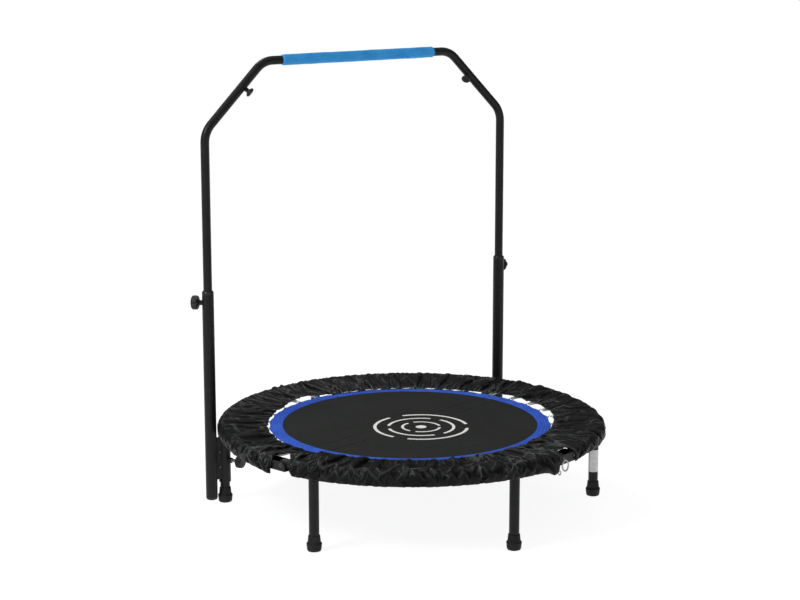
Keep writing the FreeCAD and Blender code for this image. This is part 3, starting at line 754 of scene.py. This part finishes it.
def simulate():
    """Relax the gathered cloth on ever finer grids; returns it with its cut lengths both ways."""
    x = None
    for n, m, steps, bend in LEVELS:
        base, u, th = base_cloth(n, m)
        rt, ru = rest_lengths(base, gather_map(u, th), 1.010 + 0.008 * ring_field(u, th, 50, 0.2, 6)[:, 1:])
        phase = fold_phase(u, th, FOLDS, 51)
        minor = fold_phase(u, th, MINOR_FOLDS, 57)
        taper = np.clip(u / 0.05, 0.35, 1) * np.clip((0.66 - u) / 0.14, 0, 1)
        skirt = np.clip((u - 0.74) / 0.12, 0, 1)
        if x is None:
            h = taper * 0.0090 * (tent(phase) - 0.35) * strength(phase, FOLDS, 61, 0.2, 1.5)
            h += skirt * 0.0020 * (tent(minor) - 0.5)
            out = np.clip((u - 0.6) / 0.2, 0, 1)
            x = base.copy()
            x[..., 0] += h * out * np.cos(th)
            x[..., 1] += h * out * np.sin(th)
            x[..., 2] += h * (1 - out)
        else:
            x = double(x, m)
        if n == MINOR_FOLDS_AT:
            x[..., 2] += taper * 0.0022 * (tent(minor) - 0.5) * strength(minor, MINOR_FOLDS, 62, -0.2, 1.0)
        x = relax(x, base, u, th, rt, ru, steps, bend)
    crest = np.exp(-(1 - tent(phase)) / 0.10) * strength(phase, FOLDS, 63, 0.3, 1.0)
    fine = np.exp(-(1 - tent(minor)) / 0.16) * strength(minor, MINOR_FOLDS, 64, -0.5, 1.0)
    loose = 1 - 0.8 * around(th[:, 0], HUG)[:, None]
    x[..., 2] += loose * taper * (0.0038 * crest + 0.0014 * np.clip(fine, 0, None))
    return x, rt, ru


NYLON_T = 0.0007
MID_R = 0.43             # radius at which the facets have their full size


def crumple(x):
    """Small facets with sharp creases, pushed along the surface normal."""
    n, m = x.shape[:2]
    across = np.gradient(x, axis=1)
    along = (np.roll(x, -1, 0) - np.roll(x, 1, 0)) / 2
    normal = np.cross(along, across)
    normal /= np.linalg.norm(normal, axis=-1)[..., None]
    normal *= np.sign((normal * (x - np.array([0, 0, 0.15]))).sum(-1).mean())
    p = x.reshape(-1, 3)
    r = np.hypot(p[:, 0], p[:, 1])
    a = np.arctan2(p[:, 1], p[:, 0])
    swirl = 0.010 * noise(p / 0.035, 71)
    tight = around(a, HUG) * np.clip((r - 0.455) / 0.02, 0, 1)
    tight = np.maximum(tight, np.clip((0.212 - p[:, 2]) / 0.012, 0, 1) * (r > 0.47))
    a = a - np.radians(around(a, SLANT)) * np.clip((0.50 - r) / 0.13, 0, 1)
    q = np.stack([np.cos(a) * MID_R / 0.034, np.sin(a) * MID_R / 0.034, (r + swirl - p[:, 2]) / 0.110], -1)
    large = np.clip(cells(q, 31), 0, 0.7) / 0.7
    q = np.stack([np.cos(a) * MID_R / 0.020, np.sin(a) * MID_R / 0.020, (r - swirl - p[:, 2]) / 0.045], -1)
    small = np.clip(cells(q, 47), 0, 0.6) / 0.6
    h = (-0.0026 * large - 0.0008 * small + 0.0018) * (1 - 0.6 * tight)
    return x + normal * h.reshape(n, m)[..., None]


def cover_half(name, node, cloth, first):
    """One half of the cloth: columns from first to half a turn further, both ends on the fold line."""
    n, m = cloth.shape[:2]
    cols = (first + np.arange(n // 2 + 1)) % n
    pts = cloth[cols]
    ob = make_mesh(name, pts.reshape(-1, 3), grid_faces(len(cols), m), M["black_nylon"])
    bm = bmesh.new()
    bm.from_mesh(ob.data)
    bmesh.ops.recalc_face_normals(bm, faces=bm.faces[:])
    up = sum(f.normal.z for f in bm.faces if f.calc_center_median().z > 0.214)
    if up < 0:
        bmesh.ops.reverse_faces(bm, faces=bm.faces[:])
    bm.to_mesh(ob.data)
    bm.free()
    solid = ob.modifiers.new("cloth_thickness", "SOLIDIFY")
    solid.thickness = NYLON_T
    solid.offset = 1.0
    apply_modifiers(ob)
    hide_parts(node)
    return ob


def apply_modifiers(ob):
    dg = bpy.context.evaluated_depsgraph_get()
    me = bpy.data.meshes.new_from_object(ob.evaluated_get(dg))
    ob.modifiers.clear()
    old = ob.data
    ob.data = me
    bpy.data.meshes.remove(old)
    ob.data.polygons.foreach_set("use_smooth", [True] * len(ob.data.polygons))


cloth, cut_along, cut_across = simulate()
cloth = crumple(cloth)
cut = 0.5 * (cut_along[:, 1:] + cut_along[:, :-1]) * cut_across
half = len(cut) // 2
cover_rear = cover_half("spring_cover_rear", "cover_rear", cloth, 0)
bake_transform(cover_rear)
cover_front = cover_half("spring_cover_front", "cover_front", cloth, half)
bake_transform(cover_front)

# ---- mat and band ----
PANEL_INSET = 0.0003     # each panel stops this far from the pin line
PANELS = {
    "rear": (PIN_OFFSET + PANEL_INSET, BEYOND, "mat_rear_half"),
    "middle": (-PIN_OFFSET + PANEL_INSET, PIN_OFFSET - PANEL_INSET, "mat_fold_strip"),
    "front": (-BEYOND, -PIN_OFFSET - PANEL_INSET, "mat_front_half"),
}


def revolve_profile(points, segments, wobble=None):
    """A closed ring solid from a closed profile of (radius, height) points."""
    th = np.linspace(0, 2 * math.pi, segments, endpoint=False)
    p = np.asarray(points, float)
    verts = np.empty((segments, len(p), 3))
    for j, (r, z) in enumerate(p):
        rr = np.full(segments, r)
        zz = np.full(segments, z)
        if wobble is not None:
            rr, zz = wobble(th, rr, zz)
        verts[:, j] = np.stack([rr * np.cos(th), rr * np.sin(th), zz], -1)
    return verts.reshape(-1, 3), grid_faces(segments, len(p), wrap_n=True, wrap_m=True)


def mat_surface():
    """The jumping surface as a thin closed disc with faint tension ripples at its edge."""
    rings = np.concatenate([[0.004], np.linspace(0.02, 0.300, 22), np.linspace(0.304, MAT_R + 0.0015, 8)])
    seg = 256
    th = np.linspace(0, 2 * math.pi, seg, endpoint=False)
    verts = []
    for top in (True, False):
        for r in rings:
            ripple = 0.00035 * np.sin(th * SPRINGS) * max(0, (r - 0.28) / 0.05)
            if top:
                zz = MAT_TOP - 0.0009 * (1 - (r / MAT_R) ** 2) + ripple
            else:
                zz = np.full(seg, RING_Z - 0.0022)
            verts.append(np.stack([r * np.cos(th), r * np.sin(th), zz], -1))
    n = len(rings)
    v = np.concatenate(verts)
    faces = []
    for i in range(n - 1):
        for j in range(seg):
            k = (j + 1) % seg
            faces.append((i * seg + j, (i + 1) * seg + j, (i + 1) * seg + k, i * seg + k))
            b = n * seg
            faces.append((b + i * seg + k, b + (i + 1) * seg + k, b + (i + 1) * seg + j, b + i * seg + j))
    for j in range(seg):
        k = (j + 1) % seg
        last = (n - 1) * seg
        faces.append((last + j, n * seg + last + j, n * seg + last + k, last + k))
    faces.append(tuple(range(seg)))
    faces.append(tuple(n * seg + j for j in reversed(range(seg))))
    return v, faces


def band_profile():
    """Two layers of webbing with four stitched valleys."""
    top, bottom = RING_Z + 0.0004, RING_Z - 0.0036
    pts = [(MAT_R - 0.001, bottom), (MAT_R - 0.001, top - 0.0004)]
    rows = [MAT_R + d for d in STITCH_ROWS]
    edges = np.linspace(MAT_R, BAND_R, 45)
    for r in edges:
        valley = sum(math.exp(-((r - q) / 0.0010) ** 2) for q in rows)
        crown = 0.0007 * math.sin(math.pi * min(1, max(0, (r - MAT_R) / (BAND_R - MAT_R))))
        pts.append((r, top + crown - 0.0008 * valley))
    pts += [(BAND_R + 0.0006, top - 0.0009), (BAND_R + 0.0006, bottom + 0.0009), (BAND_R, bottom)]
    return pts


def band_wobble(th, rr, zz):
    share = (rr - MAT_R) / (BAND_R - MAT_R)
    pull = 0.5 + 0.5 * np.cos((th - math.radians(15 + 11.25 / 2)) * SPRINGS)
    rr = rr + np.clip(share, 0, 1) ** 2 * (0.0006 - 0.0026 * (1 - pull))
    zz = zz + np.clip(share, 0, 1) * 0.0005 * np.cos(th * SPRINGS * 2)
    return rr, zz


def stitches():
    """Short raised thread runs in the valleys of the band."""
    parts = []
    length, gap = 0.0030, 0.0016
    for row, r0 in enumerate(STITCH_ROWS):
        r = MAT_R + r0
        count = int(2 * math.pi * r / (length + gap))
        for k in range(count):
            a0 = 2 * math.pi * (k + 0.5 * (row % 2)) / count
            a = a0 + np.array([-0.5, -0.2, 0.2, 0.5]) * length / r
            s = r * np.sin(a0 - FOLD)
            if abs(abs(s) - PIN_OFFSET) < 0.0022:
                continue
            rr, zz = band_wobble(a, np.full(4, r), np.full(4, RING_Z))
            z = zz + 0.0004 + np.array([-0.0006, 0.0002, 0.0002, -0.0006])
            v, f = tube_along(np.stack([rr * np.cos(a), rr * np.sin(a), z], -1), 0.00042, sides=5)
            parts.append((s, v, f))
    return parts


mat_v, mat_f = mat_surface()
band_v, band_f = revolve_profile(band_profile(), 512, band_wobble)
thread_parts = stitches()
for key, (lo, hi, body) in PANELS.items():
    mat = slice_slab(make_mesh("jumping_mat_" + key, mat_v, mat_f, M["black_mesh"]), lo, hi)
    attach(mat, body)
    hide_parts("mat_" + key)
    band = slice_slab(make_mesh("mat_webbing_" + key, band_v, band_f, M["blue_webbing"]), lo, hi)
    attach(band, body)
    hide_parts("mat_band_" + key)
    v, f = join_parts([(v, f) for s, v, f in thread_parts if lo < s < hi])
    thread = make_mesh("mat_stitches_" + key, v, f, THREAD.mat)
    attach(thread, body)

# ---- springs with hooks, and the wire triangles sewn into the band ----
SPRING_Z = RING_Z - MAT_T / 2


def spring_path():
    """Centre line of one spring along +X: hook in the wire triangle, coil, hook in the ring."""
    mean_r, turns = 0.0034, 26
    x0, x1 = 0.3780, 0.4530
    pts = []
    for a in np.linspace(-40, 200, 13):
        t = math.radians(a)
        pts.append((0.3715 - 0.0030 * math.cos(t), 0.0, SPRING_Z + 0.0030 * math.sin(t)))
    pts.append((0.3760, 0.0, SPRING_Z + 0.0004))
    for k in range(turns * 12 + 1):
        t = 2 * math.pi * k / 12
        pts.append((x0 + (x1 - x0) * k / (turns * 12),
                    mean_r * math.sin(t), SPRING_Z + mean_r * math.cos(t)))
    pts.append((0.4560, 0.0, SPRING_Z + 0.0008))
    for a in np.linspace(180, -30, 12):
        t = math.radians(a)
        pts.append((0.4632 + 0.0032 * math.cos(t), 0.0, SPRING_Z + 0.0032 * math.sin(t)))
    return np.array(pts)


def triangle_path():
    """A closed wire triangle: base sewn inside the band edge, apex held by the spring hook."""
    corners = [(0.3575, -0.0120), (0.3575, 0.0120), (0.3708, 0.0)]
    pts = []
    for i, c in enumerate(corners):
        a, b = np.array(corners[i - 1]), np.array(corners[(i + 1) % 3])
        c = np.array(c)
        d0, d1 = (a - c) / np.linalg.norm(a - c), (b - c) / np.linalg.norm(b - c)
        for t in np.linspace(0, 1, 6):
            p = (1 - t) ** 2 * (c + d0 * 0.003) + 2 * t * (1 - t) * c + t * t * (c + d1 * 0.003)
            pts.append((p[0], p[1], SPRING_Z))
    return np.array(pts)


coil_v, coil_f = tube_along(spring_path(), 0.00095, sides=6)
tri_v, tri_f = tube_along(triangle_path(), 0.0011, sides=6, closed=True)
QUARTERS = list(zip(LINK_ANGLES, LINK_ANGLES[1:] + (LINK_ANGLES[0] + 360,)))
PER_QUARTER = SPRINGS // 4
triangles = {"rear": [], "front": []}
for k in range(SPRINGS):
    from_angle, to_angle = QUARTERS[k // PER_QUARTER]
    angle = math.radians(from_angle + (to_angle - from_angle) * (k % PER_QUARTER + 0.5) / PER_QUARTER)
    half = "rear" if k < SPRINGS // 2 else "front"
    spring = make_mesh("spring_%02d" % (k + 1), spin_z(coil_v, angle), coil_f, M["zinc_steel"])
    if k == 0:
        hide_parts("springs_rear", "springs_front")
    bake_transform(spring)
    triangles[half].append((spin_z(tri_v, angle), tri_f))
for half, parts in triangles.items():
    v, f = join_parts(parts)
    ob = make_mesh("mat_triangles_" + half, v, f, M["zinc_steel"])
    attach(ob, "mat_%s_half" % half)

# ---- foam grip ----
lo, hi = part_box("foam_grip")
axis_y, axis_z = (lo.y + hi.y) / 2, (lo.z + hi.z) / 2
GRIP_R = (hi.z - lo.z) / 2
stations = np.concatenate([np.linspace(0, 0.006, 6), np.linspace(0.012, hi.x - lo.x - 0.012, 150),
                           hi.x - lo.x - np.linspace(0.006, 0, 6)])
sides = 48
rows = []
for s in stations:
    e = min(s, hi.x - lo.x - s)
    rows.append(GRIP_R - 0.0035 * (1 - min(1, e / 0.005)) ** 2)
rows = np.array(rows)
a = np.linspace(0, 2 * math.pi, sides, endpoint=False)
S, Aa = np.meshgrid(stations, a, indexing="ij")
q = np.stack([S.ravel() / 0.03, np.cos(Aa).ravel() * 0.8, np.sin(Aa).ravel() * 0.8], -1)
fine = np.stack([S.ravel() / 0.006, np.cos(Aa).ravel() * 2.5, np.sin(Aa).ravel() * 2.5], -1)
R = rows[:, None] + (0.0004 * noise(q, 61) + 0.00015 * noise(fine, 62)).reshape(S.shape)
outer = np.stack([lo.x + S, axis_y + R * np.cos(Aa), axis_z + R * np.sin(Aa)], -1).reshape(-1, 3)
inner_r = 0.0112
bore = np.stack([lo.x + S, axis_y + inner_r * np.cos(Aa), axis_z + inner_r * np.sin(Aa)], -1)
inner = bore[[0, -1]].reshape(-1, 3)
nrow = len(stations)
faces = grid_faces(nrow, sides, wrap_m=True)
base = nrow * sides
for j in range(sides):
    k = (j + 1) % sides
    faces.append((j, k, base + k, base + j))
    faces.append(((nrow - 1) * sides + k, (nrow - 1) * sides + j, base + sides + j, base + sides + k))
    faces.append((base + j, base + k, base + sides + k, base + sides + j))
grip = make_mesh("grip_foam_sleeve", np.concatenate([outer, inner]), faces, M["blue_foam"])
bm = bmesh.new()
bm.from_mesh(grip.data)
bmesh.ops.recalc_face_normals(bm, faces=bm.faces[:])
bm.to_mesh(grip.data)
bm.free()
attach(grip, "handle")
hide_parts("foam_grip")

# ---- weld beads on the brackets and threads on the clamp studs ----


def bead(points, radius, seed):
    """A weld bead: a tube of uneven thickness that tapers at both ends."""
    p = np.asarray(points, float)
    t = np.linspace(0, 1, len(p))
    uneven = 0.1 * noise(np.stack([t * 40, t * 0, t * 0], -1), seed)
    r = radius * (0.8 + 0.25 * np.abs(np.sin(t * len(p) * 0.9)) + uneven)
    r[0] *= 0.4
    r[-1] *= 0.4
    return tube_along(p, r, sides=7)


for side, (ux, uy) in zip(("left", "right"), UPRIGHTS):
    leg_angle = math.radians(LEG_ANGLES[side])
    leg = np.array([RING_R * math.cos(leg_angle), RING_R * math.sin(leg_angle)])
    to = np.array([ux, uy]) - leg
    span = np.linalg.norm(to)
    ex = to / span
    ey = np.array([-ex[1], ex[0]])
    parts = []
    zs = np.linspace(0.068, 0.169, 46)
    for y in (-BRACKET_HALF, BRACKET_HALF):
        for x in (math.sqrt(SLEEVE_R ** 2 - y * y), span - math.sqrt(UPRIGHT_R ** 2 - BRACKET_HALF ** 2)):
            c = leg + ex * x + ey * y
            parts.append(bead([(c[0], c[1], z) for z in zs], 0.0014, 3))
    v, f = join_parts(parts)
    ob = make_mesh("bracket_welds_" + side, v, f, M["black_powder_coat"])
    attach(ob, "frame_rear")
    # thread on the stud between nut and knob
    ca = math.radians(CLAMP_ANGLES[side])
    d = np.array([math.cos(ca), math.sin(ca), 0])
    e1 = np.array([-d[1], d[0], 0])
    turns, pitch, per_turn = 11, 0.00125, 14
    k = np.arange(turns * per_turn + 1)
    ang = 2 * math.pi * k / per_turn
    along = 0.0231 + pitch * k / per_turn
    base_pt = np.array([leg[0], leg[1], CLAMP_Z])
    round_axis = np.cos(ang)[:, None] * e1 + np.sin(ang)[:, None] * np.array([0, 0, 1.0])
    pts = base_pt + d * along[:, None] + 0.0040 * round_axis
    v, f = tube_along(pts, 0.0004, sides=5)
    ob = make_mesh("clamp_thread_" + side, v, f, M["zinc_steel"])
    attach(ob, "clamp_knob_" + side[0])

# ---- loose pull ring and eyelet at the front hinge link ----
PULL_ANGLE = math.radians(285.0)
EYE_ANGLE = math.radians(282.2)
LOOP_FACING = (math.radians(250), 0.06)


def hanging_loop(middle, wide, high, wire, turn, tilt):
    """An oval wire loop in an upright plane; turn is its facing and tilt its lean, in radians."""
    t = 2 * math.pi * np.arange(40) / 40
    a, b = wide / 2 * np.cos(t), high / 2 * np.sin(t)
    side = np.array([-math.sin(turn), math.cos(turn), 0.0])
    up = np.array([math.cos(turn) * math.sin(tilt), math.sin(turn) * math.sin(tilt), math.cos(tilt)])
    pts = np.asarray(middle) + a[:, None] * side + b[:, None] * up
    return tube_along(pts, wire, sides=8, closed=True)


def loop_at(angle, radius, height, *shape):
    return hanging_loop((radius * math.cos(angle), radius * math.sin(angle), height), *shape)


v, f = join_parts([loop_at(PULL_ANGLE, 0.5035, 0.1870, 0.015, 0.028, 0.0021, *LOOP_FACING),
                   loop_at(EYE_ANGLE, 0.5060, 0.1740, 0.0055, 0.010, 0.0015, *LOOP_FACING)])
ring = make_mesh("hinge_pull_ring", v, f, M["zinc_steel"])
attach(ring, "frame_front")

# ---- floor, light and camera ----
FLOOR_HALF = 60.0
floor_mat = Paint("floor_white", (0.20, 0.20, 0.20), 0.9, spec=0.0)
floor_mat.bsdf.inputs["Emission Color"].default_value = (1, 1, 1, 1)
floor_mat.bsdf.inputs["Emission Strength"].default_value = 0.915
corners = [(x * FLOOR_HALF, y * FLOOR_HALF, -0.0005) for x, y in ((-1, -1), (1, -1), (1, 1), (-1, 1))]
floor = make_mesh("floor", corners, [(0, 1, 2, 3)], floor_mat.mat, smooth=False)


def studio_world(zenith, horizon):
    """Soft light from above that fades towards the horizon, in front of a plain white backdrop."""
    world = bpy.data.worlds.new("studio")
    SCENE.world = world
    world.use_nodes = True
    nt = world.node_tree
    dome = nt.nodes["Background"]
    ray = nt.nodes.new("ShaderNodeTexCoord")
    split = nt.nodes.new("ShaderNodeSeparateXYZ")
    fade = nt.nodes.new("ShaderNodeMapRange")
    fade.interpolation_type = "SMOOTHSTEP"
    for socket, value in zip(fade.inputs[1:5], (0.20, 0.85, horizon, zenith)):
        socket.default_value = value
    white = nt.nodes.new("ShaderNodeBackground")
    seen = nt.nodes.new("ShaderNodeLightPath")
    pick = nt.nodes.new("ShaderNodeMixShader")
    nt.links.new(ray.outputs["Generated"], split.inputs[0])
    nt.links.new(split.outputs["Z"], fade.inputs[0])
    nt.links.new(fade.outputs[0], dome.inputs["Strength"])
    dome.inputs["Color"].default_value = (1, 1, 1, 1)
    white.inputs["Color"].default_value = (1, 1, 1, 1)
    nt.links.new(seen.outputs["Is Camera Ray"], pick.inputs[0])
    nt.links.new(dome.outputs[0], pick.inputs[1])
    nt.links.new(white.outputs[0], pick.inputs[2])
    nt.links.new(pick.outputs[0], nt.nodes["World Output"].inputs["Surface"])


def area_light(name, azimuth, elevation, distance, size, power):
    """A softbox seen from the middle of the object in the given direction, in degrees and metres."""
    a, e = math.radians(azimuth), math.radians(elevation)
    target = Vector((0, 0, 0.3))
    place = target + distance * Vector((math.cos(a) * math.cos(e), math.sin(a) * math.cos(e), math.sin(e)))
    data = bpy.data.lights.new(name, "AREA")
    data.shape = "RECTANGLE"
    data.size, data.size_y = size
    data.energy = power
    ob = bpy.data.objects.new(name, data)
    SCENE.collection.objects.link(ob)
    ob.location = place
    ob.rotation_euler = (target - place).to_track_quat("-Z", "Y").to_euler()


studio_world(zenith=0.62, horizon=0.03)
area_light("softbox_left", 185, 38, 4.0, (1.0, 1.0), 62)
area_light("softbox_back", 95, 48, 4.0, (1.2, 0.4), 34)

cam_data = bpy.data.cameras.new("camera")
cam = bpy.data.objects.new("camera", cam_data)
SCENE.collection.objects.link(cam)
cam_data.sensor_width = 36.0
cam_data.lens = 88.83
cam_data.shift_x = -0.0039
cam_data.clip_end = 200
cam.location = (-2.721, -4.125, 1.547)
cam.rotation_euler = Vector((0.5363, 0.8195, -0.2020)).to_track_quat("-Z", "Y").to_euler()
SCENE.camera = cam
SCENE.view_settings.view_transform = "Standard"
SCENE.view_settings.look = "None"
